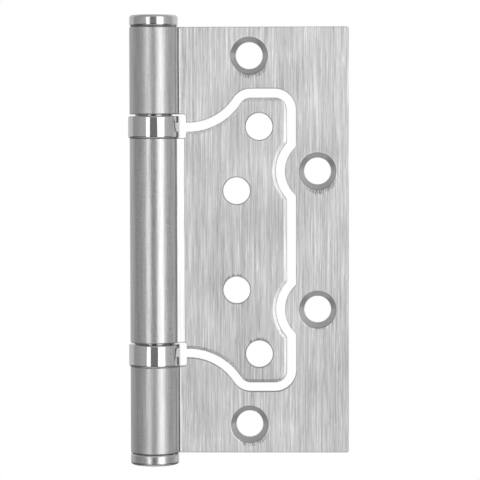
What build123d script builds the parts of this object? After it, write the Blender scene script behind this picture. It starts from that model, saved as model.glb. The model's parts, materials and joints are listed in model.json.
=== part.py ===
"""Butterfly hinge, 100 mm tall, in 2.5 mm stainless sheet, with two ball bearings.

One leaf nests in the cut-out of the other, so the folded hinge is one sheet thick and needs
no recess in the door. The outer leaf carries the top and bottom knuckles, the inner leaf the
long central one. Between the knuckles sit two small thrust bearings in polished cups.

Frame, in millimetres: Z runs up along the pin, X from the barrel to the free edges, and -Y is
the front, where the outer leaf's countersinks are. Every piece is drawn about the pin's axis
at mid-height and then moved, so that the origin lies on the outer leaf's mounting face (+Y),
halfway between its far pair of screw holes. The hinge is modelled folded.
"""

import os
from math import asin, atan2, cos, degrees, radians, sin, sqrt

from build123d import *

# Sheet and barrel
leaf_height = 100.0
sheet = 2.5
leaf_reach = 45.7
outer_knuckle_length = 20.4
free_corner_radius = 0.6
edge_round = 0.2
die_roll_width = 0.8
die_roll_depth = 0.18
bore_radius = 3.2
bend_radius = 3.6
web_angle = 17.6
web_crease_round = 0.35
web_end_round = 1.0
seam_angle = 26.5
curl_end_flat = 1.3
pin_clearance = 0.05

# Butterfly cut-out of the outer leaf, with a lug of sheet left round each far screw hole
side_rail = 12.35
end_rail = 14.4
cutout_corner_radius = 5.0
waist_end_x = 8.0
flare_radius = 12.7
lug_depth = 2.6
lug_radius = 7.5
lug_root_round = 1.0
notch_x = 7.6
notch_depth = 1.95
notch_round = 0.6
channel = 2.15

# Screw holes, in pairs that mirror each other about mid-height
outer_near_x = 22.4
outer_near_from_end = 6.7
outer_far_from_edge = 7.3
outer_far_z = 16.25
inner_near_x = 19.4
inner_near_z = 11.65
inner_far_from_edge = 6.5
inner_far_from_top = 6.75
screw_hole_radius = 3.15
countersink_radius = 4.35
countersink_angle = 90.0
hole_bevel = 0.15

# Bearings on the two ends of the central knuckle
cup_radius = 6.05
cup_height = 5.2
cup_wall = 0.4
cup_base_round = 0.5
cup_rim_round = 0.35
cup_floor_bore = 3.6
lip_radius = 4.7
hub_radius = 4.4
hub_above_cup = 0.4
race_bore_radius = 3.35
race_thickness = 1.3
race_fit = 0.05
lip_clearance = 0.1
flange_clearance = 0.15
groove_depth = 0.2
ball_radius = 0.8
ball_count = 8
ball_clearance = 0.05
pocket_clearance = 0.05
cage_thickness = 0.8
cage_rim_clearance = 0.1

# End caps, pressed over the ends of the pin
cap_radius = 5.7
cap_height = 2.8
cap_edge_round = 0.7
cap_bore_depth = 1.7
cap_fit = 0.02
pin_end_chamfer = 0.3

# Sizes worked out from those above
half_sheet = sheet / 2
half_height = leaf_height / 2
knuckle_radius = bore_radius + sheet
pin_radius = bore_radius - pin_clearance
curl_and_bend = bore_radius + half_sheet + bend_radius
bend_x = sqrt(curl_and_bend ** 2 - bend_radius ** 2)
bend_angle = degrees(atan2(bend_radius, bend_x))
bearing_height = cup_height + hub_above_cup
outer_knuckle_start = half_height - outer_knuckle_length
central_knuckle_half = outer_knuckle_start - bearing_height
waist_half_height = outer_knuckle_start - notch_depth
cutout_reach = leaf_reach - side_rail
cutout_half_height = half_height - end_rail
lug_centre_x = cutout_reach - lug_depth + lug_radius
outer_far_x = leaf_reach - outer_far_from_edge
inner_leaf_reach = cutout_reach - channel
inner_leaf_half_height = cutout_half_height - channel
clear_of_barrel = 2 * knuckle_radius
touching = 0.001

# Heights inside a bearing, from the face that its cup sits on
cup_inner_radius = cup_radius - cup_wall
race_radius = cup_inner_radius - race_fit
lower_race_top = cup_wall + race_thickness
groove_radius = ball_radius + ball_clearance
ball_height = lower_race_top + groove_radius - groove_depth
upper_race_bottom = ball_height + groove_radius - groove_depth
flange_top = cup_height - cup_wall - lip_clearance
ball_circle = (race_bore_radius + race_radius) / 2


def web_length():
    """Length of the straight web that leads from the bend line down to the round knuckle."""
    tilt = radians(web_angle)
    along = bend_x * cos(tilt) - half_sheet * sin(tilt)
    beyond = bend_x ** 2 + half_sheet ** 2 - knuckle_radius ** 2
    return along - sqrt(along ** 2 - beyond)


def rolled_sheet():
    """Flat sheet that bends back at the barrel and curls round to a seam at the front.

    The tool that closes the knuckle leaves a straight web and a crease in the hollow of the
    bend. It can't curl the very end of the sheet, so the last stretch before the seam is flat.
    """
    tilt = radians(web_angle)
    crease = Vector(bend_x, half_sheet) + Vector(-cos(tilt), sin(tilt)) * web_length()
    crease_angle = degrees(atan2(crease.Y, crease.X))
    curl_end = 360 - seam_angle
    bend_turn = 90 - bend_angle
    seam = Vector(cos(radians(curl_end)), sin(radians(curl_end)))
    flat = Vector(-seam.Y, seam.X) * curl_end_flat
    section = [
        Line((bend_x, -half_sheet), (leaf_reach, -half_sheet)),
        Line((leaf_reach, -half_sheet), (leaf_reach, half_sheet)),
        Line((leaf_reach, half_sheet), (bend_x, half_sheet)),
        Line((bend_x, half_sheet), crease),
        CenterArc((0, 0), knuckle_radius, crease_angle, curl_end - crease_angle),
        Line(seam * knuckle_radius, seam * knuckle_radius + flat),
        Line(seam * knuckle_radius + flat, seam * bore_radius + flat),
        Line(seam * bore_radius + flat, seam * bore_radius),
        CenterArc((0, 0), bore_radius, curl_end, bend_angle - curl_end),
        CenterArc((bend_x, bend_radius), bend_radius + half_sheet, 180 + bend_angle, bend_turn),
    ]
    section = round_corner(make_face(section), crease, web_crease_round)
    section = round_corner(section, (bend_x, half_sheet), web_end_round)
    return extrude(section, amount=half_height, both=True)


def butterfly(inset, barrel_half):
    """Butterfly outline in x and z. Its arcs keep their centres when it shrinks by the inset."""
    left = -clear_of_barrel
    right = cutout_reach - inset
    top = cutout_half_height - inset
    waist = waist_half_height - inset
    flare = flare_radius + inset
    corner = cutout_corner_radius - inset
    lug = lug_radius + inset

    flare_z = waist_half_height + flare_radius
    corner_x = cutout_reach - cutout_corner_radius
    corner_z = cutout_half_height - cutout_corner_radius
    flare_to_shoulder = flare_radius + cutout_corner_radius
    shoulder_x = waist_end_x + sqrt(flare_to_shoulder ** 2 - (flare_z - corner_z) ** 2)
    flare_turn = degrees(asin((shoulder_x - waist_end_x) / flare_to_shoulder))
    lug_half = sqrt(lug ** 2 - (lug_radius - lug_depth + inset) ** 2)
    lug_turn = degrees(asin(lug_half / lug))

    outline = [
        Line((left, 0), (left, barrel_half)),
        Line((left, barrel_half), (notch_x, barrel_half)),
        Line((notch_x, barrel_half), (notch_x, waist)),
        Line((notch_x, waist), (waist_end_x, waist)),
        CenterArc((waist_end_x, flare_z), flare, 270, flare_turn),
        CenterArc((shoulder_x, corner_z), corner, 90 + flare_turn, -flare_turn),
        Line((shoulder_x, top), (corner_x, top)),
        CenterArc((corner_x, corner_z), corner, 90, -90),
        Line((right, corner_z), (right, outer_far_z + lug_half)),
        CenterArc((lug_centre_x, outer_far_z), lug, 180 - lug_turn, 2 * lug_turn),
        Line((right, outer_far_z - lug_half), (right, 0)),
        Line((right, 0), (left, 0)),
    ]
    half = make_face(outline)
    for z in (outer_far_z + lug_half, outer_far_z - lug_half):
        half = round_corner(half, (right, z), lug_root_round)
    half = round_corner(half, (notch_x, barrel_half), notch_round)
    return half + mirror(half, Plane.XZ)


def round_corner(face, place, radius):
    """Round the corner of a face that lies nearest to a place."""
    return fillet(face.vertices().sort_by_distance(place)[0], radius)


def screw_holes(x, z):
    """Tools for a pair of holes, countersunk at the front and lightly bevelled at the back."""
    half_angle = radians(countersink_angle / 2)
    sink_depth = (countersink_radius - screw_hole_radius) * cos(half_angle) / sin(half_angle)
    section = Polyline(
        (0, -sheet),
        (countersink_radius, -sheet),
        (countersink_radius, -half_sheet),
        (screw_hole_radius, -half_sheet + sink_depth),
        (screw_hole_radius, half_sheet - hole_bevel),
        (screw_hole_radius + hole_bevel, half_sheet),
        (screw_hole_radius + hole_bevel, sheet),
        (0, sheet),
        close=True,
    )
    tool = revolve(make_face(section), Axis.Y)
    return [Pos(x, 0, z) * tool, Pos(x, 0, -z) * tool]


def is_level(edge, y):
    """True for an edge that lies at one depth of the sheet, apart from a bend line."""
    box = edge.bounding_box()
    is_bend_line = box.size.X < touching and box.max.X < notch_x - touching
    return box.size.Y < touching and abs(box.min.Y - y) < touching and not is_bend_line


def is_punched(edge):
    """True for an edge of the back face that the cut-out's punch made, up to its notches."""
    box = edge.bounding_box()
    past_notch = box.min.X > notch_x + touching
    return is_level(edge, half_sheet) and past_notch and box.max.X < cutout_reach + touching


def is_front_edge(edge):
    return is_level(edge, -half_sheet)


def is_roll_edge(edge):
    return is_level(edge, half_sheet - die_roll_depth)


def is_blank_edge(edge):
    """True for an edge of the back face at the blank's own top, bottom or free edge."""
    box = edge.bounding_box()
    reaches_end = max(abs(box.min.Z), abs(box.max.Z)) > half_height - free_corner_radius
    return is_level(edge, half_sheet) and (reaches_end or box.max.X > leaf_reach - touching)


def is_knuckle_rim(edge):
    """True for the round outer edge at an end of a knuckle."""
    level = edge.bounding_box().size.Z < touching
    return level and edge.geom_type == GeomType.CIRCLE and abs(edge.radius - knuckle_radius) < touching


def stamp_leaf(outline):
    """Cut a rolled blank to its outline, with the edges that a press and a tumbler leave.

    A punch draws the sheet down a little before it shears it. On the face that the punch
    enters, here the back, that leaves a shallow slope round the cut, the die roll.
    """
    leaf = rolled_sheet() & extrude(Plane.XZ * outline, amount=clear_of_barrel, both=True)
    back = leaf.faces().filter_by(Plane.XZ).sort_by(Axis.Y)[-1]
    leaf = chamfer(back.edges().filter_by(is_punched), die_roll_width, die_roll_depth, reference=back)
    leaf = fillet(leaf.edges().filter_by(is_roll_edge), edge_round)
    sharp = leaf.edges().filter_by(is_front_edge) + leaf.edges().filter_by(is_blank_edge)
    return fillet(sharp + leaf.edges().filter_by(is_knuckle_rim), edge_round)


def make_outer_leaf():
    width = leaf_reach + clear_of_barrel
    outline = Pos(leaf_reach - width / 2, 0) * Rectangle(width, leaf_height)
    outline = fillet(outline.vertices().group_by(Axis.X)[-1], free_corner_radius)
    leaf = stamp_leaf(outline - butterfly(0, outer_knuckle_start))
    leaf -= screw_holes(outer_near_x, half_height - outer_near_from_end)
    leaf -= screw_holes(outer_far_x, outer_far_z)
    return leaf


def make_inner_leaf():
    """The nested leaf, made like the outer one and then turned back to front."""
    leaf = stamp_leaf(butterfly(channel, central_knuckle_half))
    far_x = inner_leaf_reach - inner_far_from_edge
    far_z = inner_leaf_half_height - inner_far_from_top
    leaf -= screw_holes(inner_near_x, inner_near_z)
    leaf -= screw_holes(far_x, far_z)
    return mirror(leaf, Plane.XZ)


def make_pin():
    """Plain pin that ends inside the two caps."""
    length = leaf_height + 2 * (cap_bore_depth - cap_fit)
    pin = Cylinder(pin_radius, length)
    return chamfer(pin.edges().filter_by(GeomType.CIRCLE), pin_end_chamfer)


def make_cap():
    """Turned button with rounded edges, bored from below for the end of the pin."""
    cap = disc(cap_radius, 0, cap_height)
    cap = fillet(cap.edges().filter_by(GeomType.CIRCLE), cap_edge_round)
    return cap - disc(pin_radius + cap_fit, 0, cap_bore_depth)


def disc(radius, bottom, top):
    """Solid disc about the pin's axis between two heights."""
    standing = (Align.CENTER, Align.CENTER, Align.MIN)
    return Pos(0, 0, bottom) * Cylinder(radius, top - bottom, align=standing)


def make_bearing_cup():
    """Drawn cup with a rounded base, its rim turned in over the upper race."""
    base_x = cup_radius - cup_base_round
    rim_x = cup_radius - cup_rim_round
    rim_z = cup_height - cup_rim_round
    lip_z = cup_height - cup_wall
    section = [
        Line((cup_floor_bore, 0), (base_x, 0)),
        CenterArc((base_x, cup_base_round), cup_base_round, 270, 90),
        Line((cup_radius, cup_base_round), (cup_radius, rim_z)),
        CenterArc((rim_x, rim_z), cup_rim_round, 0, 90),
        Line((rim_x, cup_height), (lip_radius, cup_height)),
        Line((lip_radius, cup_height), (lip_radius, lip_z)),
        Line((lip_radius, lip_z), (cup_inner_radius, lip_z)),
        Line((cup_inner_radius, lip_z), (cup_inner_radius, cup_base_round)),
        CenterArc((base_x, cup_base_round), cup_base_round - cup_wall, 0, -90),
        Line((base_x, cup_wall), (cup_floor_bore, cup_wall)),
        Line((cup_floor_bore, cup_wall), (cup_floor_bore, 0)),
    ]
    return revolve(Plane.XZ * make_face(section), Axis.Z)


def ball_groove():
    """Tool for the round groove that the balls run in."""
    return Pos(0, 0, ball_height) * Torus(ball_circle, groove_radius)


def make_lower_race():
    """Hardened washer on the cup's floor, rounded below to clear the cup's inner corner."""
    race = disc(race_radius, cup_wall, lower_race_top)
    lower_edge = race.edges().filter_by(GeomType.CIRCLE).sort_by(Axis.Z)[0]
    race = fillet(lower_edge, cup_base_round - cup_wall)
    return race - disc(race_bore_radius, 0, cup_height) - ball_groove()


def make_upper_race():
    """Hardened washer held under the cup's lip, with a hub that carries the knuckle above."""
    flange = disc(cup_inner_radius - flange_clearance, upper_race_bottom, flange_top)
    hub = disc(hub_radius, flange_top, bearing_height)
    return flange + hub - disc(race_bore_radius, 0, bearing_height) - ball_groove()


def make_cage():
    """Flat ring with a pocket for each ball."""
    bottom = ball_height - cage_thickness / 2
    cage = disc(race_radius - cage_rim_clearance, bottom, bottom + cage_thickness)
    cage -= disc(race_bore_radius, 0, cup_height)
    pocket = disc(ball_radius + pocket_clearance, 0, cup_height)
    return cage - [place * pocket for place in PolarLocations(ball_circle, ball_count)]


def bearing_pieces(prefix, base):
    """One whole bearing whose cup sits at the height given as its base."""
    seat = Pos(0, 0, base)
    pieces = {
        prefix + "_bearing_cup": seat * make_bearing_cup(),
        prefix + "_lower_race": seat * make_lower_race(),
        prefix + "_upper_race": seat * make_upper_race(),
        prefix + "_ball_cage": seat * make_cage(),
    }
    ball = Pos(0, 0, ball_height) * Sphere(ball_radius)
    for number, place in enumerate(PolarLocations(ball_circle, ball_count), start=1):
        pieces[f"{prefix}_ball_{number}"] = seat * place * ball
    return pieces


def hinge_pieces():
    """Every piece of the hinge by name, about the pin's axis."""
    cap = Pos(0, 0, half_height) * make_cap()
    pieces = {
        "outer_leaf": make_outer_leaf(),
        "inner_leaf": make_inner_leaf(),
        "hinge_pin": make_pin(),
        "top_cap": cap,
        "bottom_cap": mirror(cap, Plane.XY),
    }
    pieces.update(bearing_pieces("top", central_knuckle_half))
    pieces.update(bearing_pieces("bottom", -outer_knuckle_start))
    return pieces


to_mounting_face = Pos(-outer_far_x, -half_sheet, 0)
os.makedirs("parts", exist_ok=True)
for name, piece in hinge_pieces().items():
    export_step(to_mounting_face * piece, f"parts/{name}.step")
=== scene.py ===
# %% [markdown]
# # Dressing a butterfly hinge
#
# A butterfly hinge is two plates of stainless sheet. One nests inside the other, and both are
# rolled at one side into the knuckles of a barrel. The shapes are finished already: every piece
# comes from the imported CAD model, at its real size and in its place. This lesson sets up a plain
# white studio, gives each piece the finish that it leaves the factory with, and grows the fine
# burrs round the screw holes.
#
# All lengths are in metres. Z runs up along the pin, X from the barrel to the free edges of the
# leaves, and -Y is the front, where the camera stands.

# %% Load the hinge
import json
from math import atan2, pi, radians, tan

import bpy
from mathutils import Matrix, Vector


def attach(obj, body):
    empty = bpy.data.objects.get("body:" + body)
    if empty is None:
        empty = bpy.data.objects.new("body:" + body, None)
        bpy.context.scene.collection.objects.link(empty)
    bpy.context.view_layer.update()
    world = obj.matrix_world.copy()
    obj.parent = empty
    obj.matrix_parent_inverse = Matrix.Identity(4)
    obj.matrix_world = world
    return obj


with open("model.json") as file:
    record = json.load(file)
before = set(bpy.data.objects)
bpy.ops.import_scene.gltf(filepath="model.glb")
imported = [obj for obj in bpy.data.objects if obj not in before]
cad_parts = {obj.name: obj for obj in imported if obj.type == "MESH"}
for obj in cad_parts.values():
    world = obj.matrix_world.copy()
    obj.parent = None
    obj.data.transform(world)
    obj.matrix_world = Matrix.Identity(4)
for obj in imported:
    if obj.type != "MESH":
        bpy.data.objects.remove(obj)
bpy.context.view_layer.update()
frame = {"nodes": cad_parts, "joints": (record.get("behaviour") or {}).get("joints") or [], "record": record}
nodes = frame["nodes"]

# %% [markdown]
# ## Where the finishes begin and end
#
# A finish follows the piece, so it needs to know where the pin's axis and the screw holes are.
# Typing the numbers in again would work until someone changes the hinge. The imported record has
# them: its first joint lies on the pin's axis, and each screw mount gives the middle of a pair
# of holes and how far apart they are.

# %% Find the pin's axis and the screw holes
mm = 0.001
joints = {joint["name"]: joint for joint in frame["joints"]}
pin_axis = Vector(joints["leaf_swing"]["pos_m"])
mounts = {mount["name"]: mount for mount in frame["record"]["mounts"]}


def hole_centres(*mount_names):
    """Centres of the screw holes of some mounts, the upper one of each pair first."""
    centres = []
    for name in mount_names:
        middle = Vector(mounts[name]["pos_m"])
        half_spacing = mounts[name]["dims"]["spacing_y_mm"] * mm / 2
        centres.append(middle + Vector((0, 0, half_spacing)))
        centres.append(middle - Vector((0, 0, half_spacing)))
    return centres


outer_holes = hole_centres("outer_leaf_near_screws", "outer_leaf_far_screws")
inner_holes = hole_centres("inner_leaf_near_screws", "inner_leaf_far_screws")
print("Screw holes:", len(outer_holes), "in the outer leaf,", len(inner_holes), "in the inner leaf")

# %% [markdown]
# ## The camera
#
# The photograph is taken with a long lens from a little above mid-height, so upright edges stay
# almost parallel. The camera's place was solved from the corners, holes and edges of the leaves.
# Three turns in order, yaw, pitch and roll, are easier to read than one matrix.

# %% Set up the camera
camera_place = Vector((-0.00746, -0.57203, 0.02701))
camera_yaw = radians(1.082)
camera_pitch = radians(2.703)
camera_roll = radians(0.130)
focal_length_mm = 182.33

camera_data = bpy.data.cameras.new("camera")
camera_data.lens = focal_length_mm
camera_data.clip_start = 10 * mm
camera = bpy.data.objects.new("camera", camera_data)
bpy.context.scene.collection.objects.link(camera)
upright = Matrix.Rotation(radians(90), 4, "X")
aim = Matrix.Rotation(camera_yaw, 4, "Z") @ Matrix.Rotation(-camera_pitch, 4, "X")
roll = Matrix.Rotation(camera_roll, 4, "Y")
camera.matrix_world = Matrix.Translation(camera_place) @ aim @ roll @ upright
bpy.context.scene.camera = camera
bpy.context.scene.view_settings.view_transform = "Standard"
print("Camera stands", round((camera_place - pin_axis).length, 3), "m from the pin")

# %% [markdown]
# ## Two softboxes
#
# Polished metal has hardly a colour of its own: what it shows is the room. On the barrel the
# photograph shows two white bands with a dark one between them, so there are two tall softboxes,
# one each side of the camera. How far round the barrel a band lies tells how far round the room
# its softbox stands, because a mirror turns a ray through twice the angle that it is turned.

# %% Hang the softboxes
softbox_distance = 0.9
softbox_bottom = -0.57
softbox_top = 0.38


def hang_softbox(name, first_edge, last_edge, radiance):
    """A tall softbox that fills the room between two bearings, in degrees from -Y towards +X."""
    bearing = radians((first_edge + last_edge) / 2)
    width = 2 * softbox_distance * tan(radians(last_edge - first_edge) / 2)
    height = softbox_top - softbox_bottom
    lamp = bpy.data.lights.new(name, "AREA")
    lamp.shape = "RECTANGLE"
    lamp.size = width
    lamp.size_y = height
    lamp.energy = radiance * pi * width * height
    box = bpy.data.objects.new(name, lamp)
    bpy.context.scene.collection.objects.link(box)
    turn = Matrix.Rotation(bearing, 4, "Z")
    place = Vector((pin_axis.x, pin_axis.y, (softbox_top + softbox_bottom) / 2))
    place += turn @ Vector((0, -softbox_distance, 0))
    box.matrix_world = Matrix.Translation(place) @ turn @ upright
    box.visible_camera = False
    print(name, "is", round(width, 2), "m wide and gives", round(lamp.energy, 2), "W")


hang_softbox("left_softbox", first_edge=-32, last_edge=-15, radiance=1.72)
hang_softbox("right_softbox", first_edge=18, last_edge=50, radiance=1.78)

# %% [markdown]
# ## Shader nodes, one line each
#
# A shader is a small machine of nodes and wires. Wired by hand it takes four lines a node, and
# the idea is lost among them, so a few helpers come first: one adds any node and plugs in its
# inputs, and the others do the sums that come back all the time.

# %% Helpers for shader nodes


def add_node(tree, kind, inputs=(), **settings):
    """Add a node. Its inputs, by name or number, take a value or another node's output."""
    node = tree.nodes.new(kind)
    for name, value in settings.items():
        setattr(node, name, value)
    for name, value in dict(inputs).items():
        if isinstance(value, bpy.types.NodeSocket):
            tree.links.new(value, node.inputs[name])
        else:
            node.inputs[name].default_value = value
    return node


def calculate(tree, operation, *values):
    """The result of a Math node."""
    return add_node(tree, "ShaderNodeMath", enumerate(values), operation=operation).outputs[0]


def product(tree, first, *others):
    """All the values multiplied together."""
    for value in others:
        first = calculate(tree, "MULTIPLY", first, value)
    return first


def without(tree, mask):
    """The mask turned round: 1 where it was 0."""
    return calculate(tree, "SUBTRACT", 1.0, mask)


def ramp(tree, value, start, end, low=0.0, high=1.0):
    """Smooth step from low, at start, to high, at end."""
    steps = {"Value": value, "From Min": start, "From Max": end, "To Min": low, "To Max": high}
    return add_node(tree, "ShaderNodeMapRange", steps, interpolation_type="SMOOTHSTEP").outputs[0]


def between(tree, factor, low, high):
    """low where the factor is 0, high where it is 1. A Mix node's inputs 2 and 3 take numbers."""
    return add_node(tree, "ShaderNodeMix", {"Factor": factor, 2: low, 3: high}).outputs[0]


def vector_math(tree, operation, *values):
    """The result of a Vector Math node."""
    node = add_node(tree, "ShaderNodeVectorMath", enumerate(values), operation=operation)
    return node.outputs["Value" if operation in ("LENGTH", "DOT_PRODUCT") else "Vector"]


def split(tree, vector):
    """The X, Y and Z of a vector."""
    return add_node(tree, "ShaderNodeSeparateXYZ", {"Vector": vector}).outputs


def join(tree, x, y, z):
    """A vector from its X, Y and Z."""
    return add_node(tree, "ShaderNodeCombineXYZ", {"X": x, "Y": y, "Z": z}).outputs[0]


print("The helpers for nodes are ready")

# %% [markdown]
# ## The room
#
# Round the softboxes the room is grey: darkest in front, where the camera stands, lighter at the
# sides, where the walls catch the softboxes' light, and nearly white behind, where the white
# background is lit. The walls glow a little beside the softboxes, and the right wall is the paler
# one. A little below the horizon the room falls off, which gives every rounding that turns
# downwards its dark line. All this depends only on the direction, so the world's shader works it
# out from the direction's X, Y and Z. The camera itself sees plain white, as in a catalogue.

# %% Paint the room
front_grey = 0.25
left_grey = 0.44
right_grey = 0.58
glow_beside_softbox = 1.35
left_back_grey = 0.75
right_back_grey = 0.90
below_share = 0.25

# Where one part of the room turns into the next, in the direction's X, Y or Z
left_to_right = (-0.3, 0.3)
glow_to_wall = (-0.85, -0.1)
front_to_wall = (-0.95, -0.86)
wall_to_back = (0.15, 0.38)
level_to_below = (-0.13, -0.26)

world = bpy.data.worlds.new("studio")
bpy.context.scene.world = world
world.use_nodes = True
room = world.node_tree
room.nodes.clear()
direction = split(room, add_node(room, "ShaderNodeTexCoord").outputs["Generated"])
to_the_right = ramp(room, direction["X"], *left_to_right)
wall = between(room, to_the_right, left_grey, right_grey)
wall = product(room, wall, ramp(room, direction["Y"], *glow_to_wall, glow_beside_softbox, 1.0))
behind = between(room, to_the_right, left_back_grey, right_back_grey)
grey = between(room, ramp(room, direction["Y"], *front_to_wall), front_grey, wall)
grey = between(room, ramp(room, direction["Y"], *wall_to_back), grey, behind)
grey = product(room, grey, ramp(room, direction["Z"], *level_to_below, 1, below_share))
seen = add_node(room, "ShaderNodeLightPath").outputs["Is Camera Ray"]
strength = between(room, seen, grey, 1.0)
background = add_node(room, "ShaderNodeBackground", {"Color": (1, 1, 1, 1), "Strength": strength})
output = add_node(room, "ShaderNodeOutputWorld")
room.links.new(background.outputs[0], output.inputs["Surface"])
print("The room runs from", front_grey, "in front to", right_back_grey, "behind on the right")

# %% [markdown]
# ## The floor
#
# A hinge has no place of its own to stand, so it hangs in the middle of the studio, over a plain
# pale floor. The floor takes light and shadow as painted board does. A little glow that only the
# camera sees brings it up to the white of the background.

# %% Lay the floor
floor_height = -0.6
floor_half_width = 0.5
floor_paint = 0.8
floor_roughness = 0.9
floor_glow = 0.5

corners = [(-1, -1), (1, -1), (1, 1), (-1, 1)]
places = [(x * floor_half_width, y * floor_half_width, floor_height) for x, y in corners]
floor_mesh = bpy.data.meshes.new("floor")
floor_mesh.from_pydata(places, [], [(0, 1, 2, 3)])
floor = bpy.data.objects.new("floor", floor_mesh)
bpy.context.scene.collection.objects.link(floor)
board = bpy.data.materials.new("pale_board")
board.use_nodes = True
paint = board.node_tree.nodes["Principled BSDF"]
paint.inputs["Base Color"].default_value = (floor_paint, floor_paint, floor_paint, 1)
paint.inputs["Roughness"].default_value = floor_roughness
paint.inputs["Emission Color"].default_value = (1, 1, 1, 1)
by_camera = add_node(board.node_tree, "ShaderNodeLightPath").outputs["Is Camera Ray"]
glow = product(board.node_tree, by_camera, floor_glow)
board.node_tree.links.new(glow, paint.inputs["Emission Strength"])
floor.data.materials.append(board)
print("The floor lies", -floor_height, "m below the hinge's middle")

# %% [markdown]
# ## Brush strokes
#
# Before it is cut and rolled, the sheet runs under an abrasive belt, which leaves thousands of
# fine strokes that all run one way. An image of scratches would repeat and stretch. Noise that
# is squeezed across the strokes and drawn out along them never repeats, and it keeps its scale
# because its width and length are real lengths. Noise stays near its middle, so only that part
# is stretched to run from 0 to 1. Several finishes need the strokes, so they are a node group: a
# small machine with labelled knobs.

# %% Make the group for brush strokes
stroke_range = (0.3, 0.7)


def new_group(name, inputs, outputs):
    """An empty node group, with its knobs and the sockets that take its results."""
    group = bpy.data.node_groups.new(name, "ShaderNodeTree")
    for label, kind, value in inputs:
        socket = group.interface.new_socket(label, in_out="INPUT", socket_type=kind)
        socket.default_value = value
    for label in outputs:
        group.interface.new_socket(label, in_out="OUTPUT", socket_type="NodeSocketFloat")
    knobs = add_node(group, "NodeGroupInput").outputs
    return group, knobs, add_node(group, "NodeGroupOutput").inputs


def place_group(tree, group, **inputs):
    """The outputs of a node group that is placed in a material with its own values."""
    knobs = {label.replace("_", " "): value for label, value in inputs.items()}
    return add_node(tree, "ShaderNodeGroup", knobs, node_tree=group).outputs


place_knob = ("Vector", "NodeSocketVector", (0, 0, 0))

strokes, knob, result = new_group(
    "brush_strokes",
    [place_knob, ("Width", "NodeSocketFloat", 0.2 * mm), ("Length", "NodeSocketFloat", 10 * mm),
     ("Seed", "NodeSocketFloat", 0.0)],
    ["Strokes"])
stroke_size = join(strokes, knob["Width"], knob["Width"], knob["Length"])
squeezed = vector_math(strokes, "DIVIDE", knob["Vector"], stroke_size)
moved = vector_math(strokes, "ADD", squeezed, knob["Seed"])
texture = {"Vector": moved, "Scale": 1.0, "Detail": 2.0, "Roughness": 0.6}
noise = add_node(strokes, "ShaderNodeTexNoise", texture).outputs[0]
strokes.links.new(ramp(strokes, noise, *stroke_range), result["Strokes"])
print("The group for brush strokes has", len(strokes.nodes), "nodes")

# %% [markdown]
# ## Speckle and dimples
#
# Rolling the barrel and tumbling the small parts leaves a grainy speckle, which breaks up the
# edges of the reflections. The same noise, many times larger and without its fine detail, makes
# the slight dimples that let a reflection waver. So the group has knobs for the size and the
# detail, and a finish may use it twice.

# %% Make the group for speckle
speckle_range = (0.15, 0.85)

speckle, knob, result = new_group(
    "speckle",
    [place_knob, ("Size", "NodeSocketFloat", 0.3 * mm), ("Detail", "NodeSocketFloat", 1.0)],
    ["Speckle"])
scaled = vector_math(speckle, "DIVIDE", knob["Vector"], knob["Size"])
texture = {"Vector": scaled, "Scale": 1.0, "Detail": knob["Detail"], "Roughness": 0.5}
noise = add_node(speckle, "ShaderNodeTexNoise", texture).outputs[0]
speckle.links.new(ramp(speckle, noise, *speckle_range), result["Speckle"])
print("The group for speckle has", len(speckle.nodes), "nodes")

# %% [markdown]
# ## Wear and painted light round a screw hole
#
# A hole is cut after the sheet is brushed. Its rounded edge gets a thin dark line of painted shade,
# the raised rim beside it a painted highlight, and a countersink is turned, so its marks are rings.
# All of it follows from one number, how far a point lies past the hole's edge in the plane of the
# leaf: the rings are where it is below nought, the painted dark line where it is near nought, and
# the painted highlight of the rim just above.

# %% Make the group for a screw hole
in_plane = (1, 0, 1)
edge_softness = 0.05 * mm
outline_fade = (0.2 * mm, 0.05 * mm)
rim_softness = 0.1 * mm
sink_ring_width = 0.08 * mm
endless = 1000 * mm

hole_wear_and_painted_light, knob, result = new_group(
    "hole_wear_and_painted_light",
    [place_knob, ("Centre", "NodeSocketVector", (0, 0, 0)),
     ("Radius", "NodeSocketFloat", 4.35 * mm), ("Drag", "NodeSocketVector", (0, 0, -1)),
     ("Drag Length", "NodeSocketFloat", 0.8 * mm), ("Rim Width", "NodeSocketFloat", 0.3 * mm),
     ("Rim Shift", "NodeSocketVector", (0, 0, 0))],
    ["Outline", "Rim", "Burrs", "Inside", "Rings"])
offset = vector_math(hole_wear_and_painted_light, "SUBTRACT", knob["Vector"], knob["Centre"])
offset = vector_math(hole_wear_and_painted_light, "MULTIPLY", offset, in_plane)
past_hole = calculate(hole_wear_and_painted_light, "SUBTRACT", vector_math(hole_wear_and_painted_light, "LENGTH", offset), knob["Radius"])
outside = ramp(hole_wear_and_painted_light, past_hole, -edge_softness, edge_softness)
hole_wear_and_painted_light.links.new(without(hole_wear_and_painted_light, outside), result["Inside"])
around_hole = join(hole_wear_and_painted_light, past_hole, split(hole_wear_and_painted_light, knob["Vector"])["Y"], 0.0)
rings = place_group(hole_wear_and_painted_light, strokes, Vector=around_hole, Width=sink_ring_width, Length=endless)[0]
hole_wear_and_painted_light.links.new(rings, result["Rings"])

# Outline: where the hole's rounded edge gets its painted shade.
from_edge = calculate(hole_wear_and_painted_light, "ABSOLUTE", past_hole)
hole_wear_and_painted_light.links.new(ramp(hole_wear_and_painted_light, from_edge, *outline_fade), result["Outline"])

# Rim: where the raised rim beside the hole gets its painted highlight.
from_rim = vector_math(hole_wear_and_painted_light, "SUBTRACT", offset, knob["Rim Shift"])
rim_edge = calculate(hole_wear_and_painted_light, "ADD", knob["Radius"], knob["Rim Width"])
inside_rim = calculate(hole_wear_and_painted_light, "SUBTRACT", rim_edge, vector_math(hole_wear_and_painted_light, "LENGTH", from_rim))
in_rim = ramp(hole_wear_and_painted_light, inside_rim, -rim_softness, rim_softness)
hole_wear_and_painted_light.links.new(product(hole_wear_and_painted_light, in_rim, outside), result["Rim"])
print("The group for a screw hole has", len(hole_wear_and_painted_light.nodes), "nodes so far")
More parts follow.
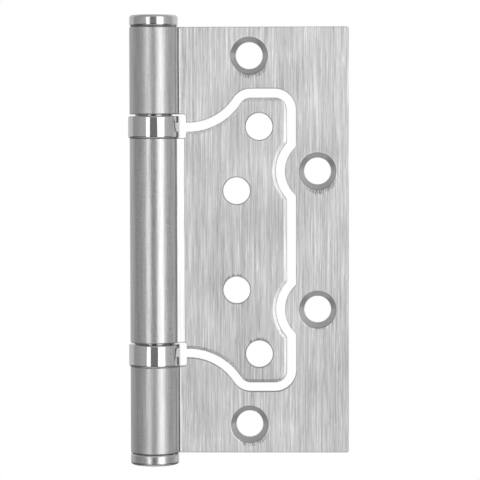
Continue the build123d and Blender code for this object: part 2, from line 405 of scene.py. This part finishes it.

# %% [markdown]
# ## Burrs dragged off the rim
#
# The next pass of the belt drags the rim's burrs to one side, and from a little way off they
# look like dark smears: painted shade of the burrs, laid on the leaf. Painting each smear would
# take an image, so a comb of brush strokes says how far each one reaches. Only the part of the
# edge that faces the drag has any, and the group finds it by comparing two headings: the one from
# the hole's middle to the point, and the drag's.

# %% Add the burrs to the group for a screw hole
facing_the_drag = (0.35, 0.95)
comb_width = 0.16 * mm
comb_length = 2 * mm
comb_range = (0.2, 0.9)
comb_reach = (0.2, 1.3)
burr_fade = (0.1 * mm, -0.2 * mm)

heading = vector_math(hole_wear_and_painted_light, "NORMALIZE", offset)
alignment = vector_math(hole_wear_and_painted_light, "DOT_PRODUCT", heading, knob["Drag"])
facing = ramp(hole_wear_and_painted_light, alignment, *facing_the_drag)
comb = place_group(hole_wear_and_painted_light, strokes, Vector=knob["Vector"], Width=comb_width, Length=comb_length)[0]
comb = ramp(hole_wear_and_painted_light, comb, *comb_range, *comb_reach)
reach = product(hole_wear_and_painted_light, comb, facing, knob["Drag Length"])
past_burr = calculate(hole_wear_and_painted_light, "SUBTRACT", past_hole, reach)
dragged = ramp(hole_wear_and_painted_light, past_burr, *burr_fade)
hole_wear_and_painted_light.links.new(product(hole_wear_and_painted_light, dragged, outside, facing), result["Burrs"])
print("The group for a screw hole has", len(hole_wear_and_painted_light.nodes), "nodes")

# %% [markdown]
# ## Starting a metal
#
# Steel has no texture image here either: each finish is one Principled shader, with the numbers
# that are the same all over set on the shader itself, and noise wired in only where the real
# surface varies. Grey metal needs one number for its colour, so a tone stands for all three.

# %% Helpers for a finish


def new_finish(name, **constants):
    """A material with a Principled shader. Its constants sit on the shader's own sockets."""
    material = bpy.data.materials.new(name)
    material.use_nodes = True
    tree = material.node_tree
    shader = tree.nodes["Principled BSDF"]
    for label, value in constants.items():
        shader.inputs[label.replace("_", " ")].default_value = value
    place = add_node(tree, "ShaderNodeTexCoord").outputs
    return material, tree, shader, place


def set_tone(tree, shader, tone):
    """Use one number as a neutral base colour."""
    grey = add_node(tree, "ShaderNodeCombineColor", {"Red": tone, "Green": tone, "Blue": tone})
    tree.links.new(grey.outputs[0], shader.inputs["Base Color"])


def set_relief(tree, shader, height):
    """Raise the surface by a height in metres."""
    bump = add_node(tree, "ShaderNodeBump", {"Height": height, "Distance": 1.0})
    tree.links.new(bump.outputs[0], shader.inputs["Normal"])


def vary(tree, mask, contrast):
    """A factor from 1 - contrast, where the mask is 0, to 1 + contrast, where it is 1."""
    return between(tree, mask, 1 - contrast, 1 + contrast)


def wear_and_painted_light(tree, tone, amount, mask):
    """The tone, times 1 + amount where the mask is 1. It serves real wear and painted shade and highlights
    alike.
    """
    return product(tree, tone, calculate(tree, "MULTIPLY_ADD", mask, amount, 1.0))


def from_pin(tree, point):
    """How far a point lies from the pin's axis."""
    offset = vector_math(tree, "SUBTRACT", point, pin_axis)
    return vector_math(tree, "LENGTH", vector_math(tree, "MULTIPLY", offset, (1, 1, 0)))


print("The helpers for finishes are ready")

# %% [markdown]
# ## The flat face of a leaf
#
# Up close the brushed sheet has strokes on top of strokes: hairs a tenth of a millimetre wide,
# broader and longer ones under them, faint clouds as wide as a thumb, and here and there a deep
# scratch, some of them dark and some bright. One layer of noise looks too even, so the function
# multiplies several, each with its own width, length and contrast.

# %% The tone of the flat face
stroke_layers = [
    # width, length and how much the tone varies
    (0.11 * mm, 11 * mm, 0.18),
    (0.20 * mm, 12 * mm, 0.13),
    (0.40 * mm, 45 * mm, 0.06),
    (2.2 * mm, 120 * mm, 0.05),
]
cloud_size = 14 * mm
cloud_contrast = 0.10
scratch_width = 0.16 * mm
scratch_length = 5 * mm
scratch_wear = 0.25
dark_scratches = (0.86, 1.0)
bright_scratches = (0.14, 0.0)


def brushed_tone(tree, point, tone, seed):
    """The tone of the flat face under all its layers of strokes."""
    for number, (width, length, contrast) in enumerate(stroke_layers):
        layer = place_group(tree, strokes, Vector=point, Width=width, Length=length,
                            Seed=seed + 7 * number)[0]
        tone = product(tree, tone, vary(tree, layer, contrast))
    clouds = place_group(tree, speckle, Vector=point, Size=cloud_size)[0]
    tone = product(tree, tone, vary(tree, clouds, cloud_contrast))
    deep = place_group(tree, strokes, Vector=point, Width=scratch_width, Length=scratch_length,
                       Seed=seed + 40)[0]
    tone = wear_and_painted_light(tree, tone, -scratch_wear, ramp(tree, deep, *dark_scratches))
    return wear_and_painted_light(tree, tone, scratch_wear, ramp(tree, deep, *bright_scratches))


print("The flat face has", len(stroke_layers), "layers of strokes")

# %% [markdown]
# ## The sheared edge and the rolled knuckle
#
# The sheared edge is matt: the punch leaves a band that it wiped smooth and, past a ragged line, a
# band where the metal tore. The knuckle was burnished by the rolling tool, so it shows the
# softboxes, and a thin dark line of painted shade marks the crease where the tool lets go of the
# sheet. Both change across the sheet's thickness, so both functions ask how far a point lies
# towards the die roll, the edge that the punch pulled round.

# %% The tones of the edge and the knuckle
ragged_size = 0.5 * mm
ragged_reach = 0.9 * mm
wiped_to_torn = (0.2 * mm, 0.5 * mm)
wiped_share = 0.85
torn_share = 0.60

streak_contrast = 0.12
line_from_pin = 5.2 * mm
line_fade = (0.16 * mm, 0.04 * mm)
crease_painted_shade = -0.4
on_line_side = (-1.3 * mm, -1.5 * mm)


def sheared_tone(tree, point, to_roll):
    """Smooth next to the die roll, then torn, with a ragged line between."""
    ragged = place_group(tree, speckle, Vector=point, Size=ragged_size)[0]
    tear = calculate(tree, "MULTIPLY_ADD", ragged, ragged_reach, product(tree, to_roll, -1))
    torn = ramp(tree, tear, *wiped_to_torn)
    return torn, between(tree, torn, wiped_share, torn_share)


def rolled_tone(tree, point, barrel, grains, streaks, to_roll):
    """The burnished knuckle, with a line of painted shade at the crease where the rolling tool lets go."""
    tone = product(tree, barrel["tone"], vary(tree, grains, barrel["mottle"]),
                   vary(tree, streaks, streak_contrast))
    across = calculate(tree, "SUBTRACT", split(tree, point)["X"], pin_axis.x + line_from_pin)
    line = ramp(tree, calculate(tree, "ABSOLUTE", across), *line_fade)
    # The crease line is darkened: painted shade.
    return wear_and_painted_light(tree, tone, crease_painted_shade, product(tree, line, ramp(tree, to_roll, *on_line_side)))


print("The line beside the knuckle lies", round(line_from_pin / mm, 1), "mm from the pin's axis")

# %% [markdown]
# ## Which surface a point lies on
#
# Near the pin the sheet is rolled, a face that turns away from front and back is a sheared edge,
# and the rest is flat. All of it can be worked out from a point's place and normal, so nothing
# has to be painted by hand, and masks with soft borders say where each surface ends. The screw
# holes are countersunk on the side away from the die roll, so they are wider there.

# %% Masks for the surfaces of a leaf
knuckle_radius = 5.7 * mm
sink_radius = 4.35 * mm
plain_radius = 3.3 * mm
border = 0.1 * mm
knuckle_border = (knuckle_radius + 0.2 * mm, knuckle_radius + 0.05 * mm)
face_to_rounding = (0.96, 0.8)
face_to_edge = (0.5, 0.3)


def leaf_masks(tree, place, satin_end, roll_side):
    """How far a point lies towards the die roll, its holes' radius, and a mask for each surface."""
    point = place["Object"]
    height_above_pin = calculate(tree, "SUBTRACT", split(tree, point)["Y"], pin_axis.y)
    to_roll = product(tree, height_above_pin, roll_side)
    sunk_side = ramp(tree, to_roll, border, -border)
    hole_edge = between(tree, sunk_side, plain_radius, sink_radius)
    pin_distance = from_pin(tree, point)
    rolled = ramp(tree, pin_distance, satin_end + border, satin_end)
    knuckle = ramp(tree, pin_distance, *knuckle_border)
    facing = calculate(tree, "ABSOLUTE", split(tree, place["Normal"])["Y"])
    broken_edge = product(tree, ramp(tree, facing, *face_to_rounding), without(tree, rolled))
    sheared = product(tree, ramp(tree, facing, *face_to_edge), without(tree, rolled))
    masks = {"rolled": rolled, "knuckle": knuckle, "broken edge": broken_edge, "sheared": sheared}
    return to_roll, hole_edge, masks


print("Holes are", round(2 * sink_radius / mm, 1), "mm wide where they are sunk, and",
      round(2 * plain_radius / mm, 1), "mm on the plain side")

# %% [markdown]
# ## One finish for a whole leaf
#
# A leaf is one sheet, so it gets one material: the function makes the tone, the roughness and the
# relief of every surface and lets the masks pick between them. Three materials with hard borders
# would be simpler, but the real surfaces run into each other. The two leaves differ only in the
# numbers that they give the function.

# %% Make the finish of a brushed leaf
rim_width = 0.25 * mm
ring_tones = (0.88, 1.20)
burr_painted_shade = -0.6
hole_edge_painted_shade = -0.35
edge_painted_shade = -0.12
web_painted_shade = -0.15
hair_width = 0.12 * mm
hair_length = 6 * mm
streak_width = 0.3 * mm
streak_length = 12 * mm
grain_detail = 3.0
grain_range = (0.1, 0.9)
flat_roughness_range = (0.37, 0.43)
web_roughness = 0.16
wiped_roughness = 0.35
torn_roughness = 0.60
hair_relief = 0.003 * mm
streak_relief = 0.002 * mm
torn_relief = 0.03 * mm


def face_tone(tree, point, tone, seed, holes, hole_marks, hole_edge):
    """The tone of the flat face, with the marks round its screw holes: turned rings, painted shade at the
    edges and under the burrs, and a painted highlight on the rims.
    """
    shade = brushed_tone(tree, point, tone, seed)
    for hole, (drag, length, shift, rim_painted_highlight) in zip(holes, hole_marks):
        marks = place_group(tree, hole_wear_and_painted_light, Vector=point, Centre=hole, Radius=hole_edge, Drag=drag,
                            Drag_Length=length, Rim_Width=rim_width, Rim_Shift=shift)
        turned = product(tree, tone, between(tree, marks["Rings"], *ring_tones))
        shade = between(tree, marks["Inside"], shade, turned)
        # Brighten the rim round the hole: a painted highlight.
        shade = wear_and_painted_light(tree, shade, rim_painted_highlight, marks["Rim"])
        # Darken the smears where the burrs lie: painted shade.
        shade = wear_and_painted_light(tree, shade, burr_painted_shade, marks["Burrs"])
        # Darken the hole's rounded edge: painted shade.
        shade = wear_and_painted_light(tree, shade, hole_edge_painted_shade, marks["Outline"])
    return shade


def leaf_roughness(tree, barrel, masks, hairs, grains, torn):
    """The roughness of all the surfaces of a leaf."""
    flat = between(tree, hairs, *flat_roughness_range)
    knuckle = between(tree, ramp(tree, grains, *grain_range), *barrel["roughness"])
    rolled = between(tree, masks["knuckle"], web_roughness, knuckle)
    roughness = between(tree, masks["rolled"], flat, rolled)
    sheared = between(tree, torn, wiped_roughness, torn_roughness)
    return between(tree, masks["sheared"], roughness, sheared)


def leaf_relief(tree, barrel, masks, hairs, grains, streaks, torn):
    """The relief of all the surfaces of a leaf, in metres."""
    flat = product(tree, hairs, without(tree, masks["broken edge"]), hair_relief)
    knuckle = product(tree, grains, masks["knuckle"], barrel["grain depth"])
    rolled = calculate(tree, "MULTIPLY_ADD", streaks, streak_relief, knuckle)
    sheared = product(tree, torn, grains, torn_relief)
    return between(tree, masks["sheared"], between(tree, masks["rolled"], flat, rolled), sheared)


def brushed_leaf(name, holes, tone, barrel, hole_marks, roll_side, seed):
    """Finish of a leaf whose die roll is at the back, +1, or at the front, -1."""
    material, tree, shader, place = new_finish(name, Metallic=1.0, Anisotropic=0.6)
    point = place["Object"]
    to_roll, hole_edge, masks = leaf_masks(tree, place, barrel["satin end"], roll_side)
    flat = face_tone(tree, point, tone, seed, holes, hole_marks, hole_edge)
    # The rounded edges of the flat face are darkened: a painted dark reflection of the room.
    flat = wear_and_painted_light(tree, flat, edge_painted_shade, masks["broken edge"])

    hairs = place_group(tree, strokes, Vector=point, Width=hair_width, Length=hair_length, Seed=seed)[0]
    grains = place_group(tree, speckle, Vector=point, Size=barrel["grain"], Detail=grain_detail)[0]
    streaks = place_group(tree, strokes, Vector=point, Width=streak_width, Length=streak_length,
                          Seed=seed + 3)[0]
    torn, edge_share = sheared_tone(tree, point, to_roll)
    rolled = rolled_tone(tree, point, barrel, grains, streaks, to_roll)
    # The strip between the knuckle and the flat face is darkened: painted shade of the seam gap beside it.
    rolled = wear_and_painted_light(tree, rolled, web_painted_shade, without(tree, masks["knuckle"]))
    shade = between(tree, masks["rolled"], flat, rolled)
    shade = between(tree, masks["sheared"], shade, product(tree, tone, edge_share))
    set_tone(tree, shader, shade)

    roughness = leaf_roughness(tree, barrel, masks, hairs, grains, torn)
    tree.links.new(roughness, shader.inputs["Roughness"])
    set_relief(tree, shader, leaf_relief(tree, barrel, masks, hairs, grains, streaks, torn))
    return material


print("The torn edge is rough by up to", round(torn_relief / mm, 2), "mm")

# %% [markdown]
# ## Finishes of the two leaves
#
# The belt ran downwards over the outer leaf, so the burrs of its countersinks hang from their
# lower edges. The inner leaf shows the plain side of its holes, which has only a little burr
# above. Its long knuckle was burnished more than the short ones of the outer leaf.

# %% Make the finishes of the two leaves
flat_tone = 0.68
inner_share = 0.97
downwards = (0.25, 0, -0.97)
upwards = (-0.1, 0, 0.99)
centred = (0, 0, 0)
below = (0, 0, -0.25 * mm)

outer_barrel = {"tone": 0.50, "mottle": 0.1, "roughness": (0.23, 0.43), "grain": 0.11 * mm,
                "grain depth": 0.001 * mm, "satin end": 6.35 * mm}
outer_marks = [
    # where the burrs are dragged, how far, where the rim is widest and how bright its painted highlight is
    (downwards, 0.8 * mm, centred, 0.18),
    (downwards, 0.7 * mm, below, 0.3),
    (downwards, 0.9 * mm, centred, 0.22),
    (downwards, 0.5 * mm, below, 0.25),
]
outer_finish = brushed_leaf("brushed_outer_leaf", outer_holes, flat_tone, outer_barrel,
                            outer_marks, roll_side=1, seed=0.0)

inner_barrel = {"tone": 0.50, "mottle": 0.05, "roughness": (0.17, 0.38), "grain": 0.11 * mm,
                "grain depth": 0.0005 * mm, "satin end": 7.3 * mm}
inner_marks = [(upwards, 0.15 * mm, centred, 0.1), (upwards, 0.5 * mm, centred, 0.1)] * 2
inner_finish = brushed_leaf("brushed_inner_leaf", inner_holes, flat_tone * inner_share,
                            inner_barrel, inner_marks, roll_side=-1, seed=31.0)
print("The leaves' finishes have", len(outer_finish.node_tree.nodes), "nodes each")

# %% [markdown]
# ## Burrs round the screw holes
#
# Seen close up, the burrs are slivers of steel. Each is still held at the edge of its hole, lies
# almost flat on the leaf and lifts a little towards its tip. There are hundreds and no two are
# alike, so modelling them one by one is hopeless, and a bump in the shader would be flat in the
# exported mesh. This is work for Geometry Nodes: a tree that starts from a point at the middle of
# each hole. Its inputs are the burrs' sizes and directions, so one tree serves both leaves, and a
# fixed seed gives every sliver the same random numbers each time.

# %% Start the tree that grows burrs
burr_tree = bpy.data.node_groups.new("burrs", "GeometryNodeTree")
burr_inputs = [
    ("Middles", "NodeSocketGeometry"), ("Radius", "NodeSocketFloat"), ("Heading", "NodeSocketFloat"),
    ("Arc", "NodeSocketFloat"), ("Spacing", "NodeSocketFloat"), ("Width", "NodeSocketFloat"),
    ("Length", "NodeSocketFloat"), ("Seed", "NodeSocketInt"), ("Finish", "NodeSocketMaterial")]
burr_socket = {}
for label, kind in burr_inputs:
    socket = burr_tree.interface.new_socket(label, in_out="INPUT", socket_type=kind)
    burr_socket[label] = socket.identifier
burr_tree.interface.new_socket("Burrs", in_out="OUTPUT", socket_type="NodeSocketGeometry")
knob = add_node(burr_tree, "NodeGroupInput").outputs


def chance(low, high, seed_step):
    """A random number between two values, another one for each point."""
    seed = calculate(burr_tree, "ADD", knob["Seed"], seed_step)
    limits = {2: low, 3: high, "Seed": seed}
    return add_node(burr_tree, "FunctionNodeRandomValue", limits, data_type="FLOAT").outputs[1]


def geometry(kind, inputs, **settings):
    """The first output of a Geometry node."""
    return add_node(burr_tree, kind, inputs, **settings).outputs[0]


print("The tree that grows burrs has", len(burr_inputs), "inputs")

# %% [markdown]
# ## Roots along an arc
#
# A burr is held at the hole's edge, so the roots of the slivers stand on an arc of the hole's
# radius, with its middle on the side that the belt drags them to. The arc is turned up into the
# plane of the leaf, a copy is put at the middle of every hole, and roots are set along the copies
# at an even spacing. Each root keeps how far along its arc it stands, because the next step needs
# it.

# %% Set the roots of the burrs
arc_resolution = 48
into_leaf_plane = (pi / 2, 0, 0)

half_arc = calculate(burr_tree, "MULTIPLY", knob["Arc"], 0.5)
first_angle = calculate(burr_tree, "SUBTRACT", knob["Heading"], half_arc)
arc_sizes = {"Resolution": arc_resolution, "Radius": knob["Radius"], "Start Angle": first_angle,
             "Sweep Angle": knob["Arc"]}
flat_arc = geometry("GeometryNodeCurveArc", arc_sizes, mode="RADIUS")
hole_arc = geometry("GeometryNodeTransform", {"Geometry": flat_arc, "Rotation": into_leaf_plane})
arc_copies = geometry("GeometryNodeInstanceOnPoints", {"Points": knob["Middles"], "Instance": hole_arc})
arcs = geometry("GeometryNodeRealizeInstances", {"Geometry": arc_copies})
along = burr_tree.nodes.new("GeometryNodeCaptureAttribute")
along.capture_items.new("FLOAT", "Along")
burr_tree.links.new(arcs, along.inputs["Geometry"])
share_of_arc = add_node(burr_tree, "GeometryNodeSplineParameter").outputs["Factor"]
burr_tree.links.new(share_of_arc, along.inputs["Along"])
root_spacing = {"Curve": along.outputs["Geometry"], "Length": knob["Spacing"]}
roots = geometry("GeometryNodeCurveToPoints", root_spacing, mode="LENGTH")
print("The tree that grows burrs has", len(burr_tree.nodes), "nodes so far")

# %% [markdown]
# ## A sliver on every root
#
# A sliver is a cone with four sides, pressed flat, with its tip away from the root. The ones in
# the middle of the arc are longest, where the belt drags hardest, and chance makes every one
# longer or shorter, wider or narrower, lifts it and turns it a little. The tree ends by making
# the copies real and giving them their finish, because an exported mesh can't hold copies.

# %% Set a sliver on every root
sliver_sides = 4
sliver_lengths = (0.25, 1.0)
sliver_widths = (0.6, 1.4)
flatness = 0.4
lifts = (radians(-12), radians(-3))
spread = radians(18)

unit_cone = {"Vertices": sliver_sides, "Radius Top": 0.0, "Radius Bottom": 0.5, "Depth": 1.0}
cone = geometry("GeometryNodeMeshCone", unit_cone, fill_type="NGON")
sliver = geometry("GeometryNodeTransform", {"Geometry": cone, "Rotation": (pi, 0, 0)})
longest_in_middle = calculate(burr_tree, "SINE", product(burr_tree, along.outputs["Along"], pi))
sliver_length = product(burr_tree, knob["Length"], longest_in_middle, chance(*sliver_lengths, 1))
sliver_width = product(burr_tree, knob["Width"], chance(*sliver_widths, 2))
lift = chance(*lifts, 3)
turn = calculate(burr_tree, "SUBTRACT", chance(-spread, spread, 4), knob["Heading"])
turn = calculate(burr_tree, "SUBTRACT", turn, pi / 2)
stance = join(burr_tree, lift, turn, 0.0)
sliver_size = join(burr_tree, sliver_width, product(burr_tree, sliver_width, flatness), sliver_length)
sliver_inputs = {"Points": roots, "Instance": sliver, "Rotation": stance, "Scale": sliver_size}
sliver_copies = geometry("GeometryNodeInstanceOnPoints", sliver_inputs)
slivers = geometry("GeometryNodeRealizeInstances", {"Geometry": sliver_copies})
finished = geometry("GeometryNodeSetMaterial", {"Geometry": slivers, "Material": knob["Finish"]})
add_node(burr_tree, "NodeGroupOutput", {"Burrs": finished})
print("The tree that grows burrs has", len(burr_tree.nodes), "nodes")

# %% [markdown]
# ## Growing the burrs
#
# The tree is hung on a mesh of bare points, one for each hole. What it makes is then turned into
# a plain mesh, one for each leaf, so that the burrs swing with their own leaf. They are steel of
# the same sheet, so they take the leaf's finish. The outer leaf's burrs stand at the wide edge of
# its countersinks, the inner leaf's at the plain holes themselves.

# %% Grow the burrs of both leaves
sheet_thickness = 2.5 * mm
leaf_front = pin_axis.y - sheet_thickness / 2
screw_radius = 3.15 * mm
burr_spacing = 0.11 * mm
burr_width = 0.14 * mm


def grow_burrs(name, body, holes, radius, drag, arc, length, finish, seed):
    """Burrs along one side of a leaf's holes, as a plain mesh that rides on a body."""
    points = bpy.data.meshes.new(name + "_middles")
    points.from_pydata([(hole.x, leaf_front, hole.z) for hole in holes], [], [])
    carrier = bpy.data.objects.new(name + "_middles", points)
    bpy.context.scene.collection.objects.link(carrier)
    modifier = carrier.modifiers.new("burrs", "NODES")
    modifier.node_group = burr_tree
    values = {"Radius": radius, "Heading": atan2(drag[2], drag[0]), "Arc": arc,
              "Spacing": burr_spacing, "Width": burr_width, "Length": length, "Seed": seed,
              "Finish": finish}
    for label, value in values.items():
        modifier[burr_socket[label]] = value
    graph = bpy.context.evaluated_depsgraph_get()
    mesh = bpy.data.meshes.new_from_object(carrier.evaluated_get(graph), depsgraph=graph)
    bpy.data.objects.remove(carrier)
    burrs = bpy.data.objects.new(name, mesh)
    bpy.context.scene.collection.objects.link(burrs)
    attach(burrs, body)
    print(name, "has", len(mesh.polygons), "faces round", len(holes), "holes")


grow_burrs("outer_leaf_burrs", "frame_side", outer_holes, sink_radius, downwards,
           arc=radians(130), length=0.8 * mm, finish=outer_finish, seed=5)
grow_burrs("inner_leaf_burrs", "door_side", inner_holes, screw_radius, upwards,
           arc=radians(110), length=0.35 * mm, finish=inner_finish, seed=11)

# %% [markdown]
# ## Turned and drawn parts
#
# The caps are turned on a lathe, the cups are drawn and polished, and the races, balls and pin
# are ground. All but the balls are round about the pin, so their marks are rings, and the balls
# are so smooth that theirs hardly show. The strokes group makes rings too: it is given the
# distance from the pin's axis and the height in place of X and Y. How deep the rings, the grain
# and the dimples are tells a satin cap from a polished cup.

# %% Make the finishes of the round parts
turned_ring_width = 0.12 * mm
turned_grain_size = 0.4 * mm
dimple_size = 3.0 * mm
smoother, rougher = 0.8, 1.2


def turned_metal(name, tone, roughness, ring_depth, grain_depth, dimple_depth, mottle):
    """Finish of a round part. The depths are in metres."""
    material, tree, shader, place = new_finish(name, Metallic=1.0, Anisotropic=0.2)
    point = place["Object"]
    height = split(tree, point)["Z"]
    across = join(tree, from_pin(tree, point), height, 0.0)
    rings = place_group(tree, strokes, Vector=across, Width=turned_ring_width, Length=endless)[0]
    grains = place_group(tree, speckle, Vector=point, Size=turned_grain_size)[0]
    dimples = place_group(tree, speckle, Vector=point, Size=dimple_size, Detail=0.0)[0]
    set_tone(tree, shader, product(tree, tone, vary(tree, grains, mottle)))
    ringed_roughness = between(tree, rings, roughness * smoother, roughness * rougher)
    tree.links.new(ringed_roughness, shader.inputs["Roughness"])
    relief = product(tree, rings, ring_depth)
    relief = calculate(tree, "MULTIPLY_ADD", grains, grain_depth, relief)
    set_relief(tree, shader, calculate(tree, "MULTIPLY_ADD", dimples, dimple_depth, relief))
    return material


round_parts = {
    # tone, roughness, the depths of the rings, the grain and the dimples, and how mottled it is
    "satin_cap": (0.52, 0.24, 0.001 * mm, 0.004 * mm, 0.020 * mm, 0.1),
    "polished_cap": (0.57, 0.15, 0.0003 * mm, 0.0010 * mm, 0.020 * mm, 0.05),
    "polished_cup": (0.60, 0.08, 0.0003 * mm, 0.0006 * mm, 0.012 * mm, 0.08),
    # The race's dark tone is partly its hardened steel and partly painted shade of the narrow gaps where it
    # shows.
    "hardened_race": (0.28, 0.15, 0.001 * mm, 0.001 * mm, 0.001 * mm, 0.05),
    "bearing_ball": (0.66, 0.05, 0.0, 0.0001 * mm, 0.0, 0.05),
    "ground_pin": (0.60, 0.25, 0.001 * mm, 0.001 * mm, 0.001 * mm, 0.05),
}
finish_of_slot = {slot: turned_metal(slot, *values) for slot, values in round_parts.items()}
print("Finishes for round parts:", len(finish_of_slot))

# %% [markdown]
# ## The ball cages
#
# Each bearing keeps its balls apart with a ring of moulded nylon, which is pale, matt and very
# slightly mottled. It hides inside the cup, but it shows when the hinge is taken apart.

# %% Make the nylon
nylon_pale = (0.82, 0.80, 0.74, 1)
nylon_dark = (0.76, 0.74, 0.68, 1)
nylon_grain_size = 0.25 * mm
nylon_relief = 0.01 * mm

nylon, tree, shader, place = new_finish("cage_nylon", Roughness=0.5)
grains = place_group(tree, speckle, Vector=place["Object"], Size=nylon_grain_size)[0]
# A Mix node that is set to colours takes them at its inputs 6 and 7 and gives its output 2.
colours = {"Factor": grains, 6: nylon_dark, 7: nylon_pale}
mixed = add_node(tree, "ShaderNodeMix", colours, data_type="RGBA").outputs[2]
tree.links.new(mixed, shader.inputs["Base Color"])
set_relief(tree, shader, product(tree, grains, nylon_relief))
finish_of_slot["cage_plastic"] = nylon
print("The nylon has", len(tree.nodes), "nodes")

# %% [markdown]
# ## Giving every piece its finish
#
# The record names a material slot for each piece, so the finishes are dealt out by slot. Only
# the two leaves share a slot but not a finish, because each has holes of its own.

# %% Give every piece its finish
finish_of_leaf = {"outer_leaf": outer_finish, "inner_leaf": inner_finish}
slot_of = {part["node"]: part["material_slot"] for part in frame["record"]["subparts"]}
for name, node in nodes.items():
    node.data.materials.clear()
    finish = finish_of_leaf.get(name) or finish_of_slot[slot_of[name]]
    node.data.materials.append(finish)
print("Dressed pieces:", len(nodes))
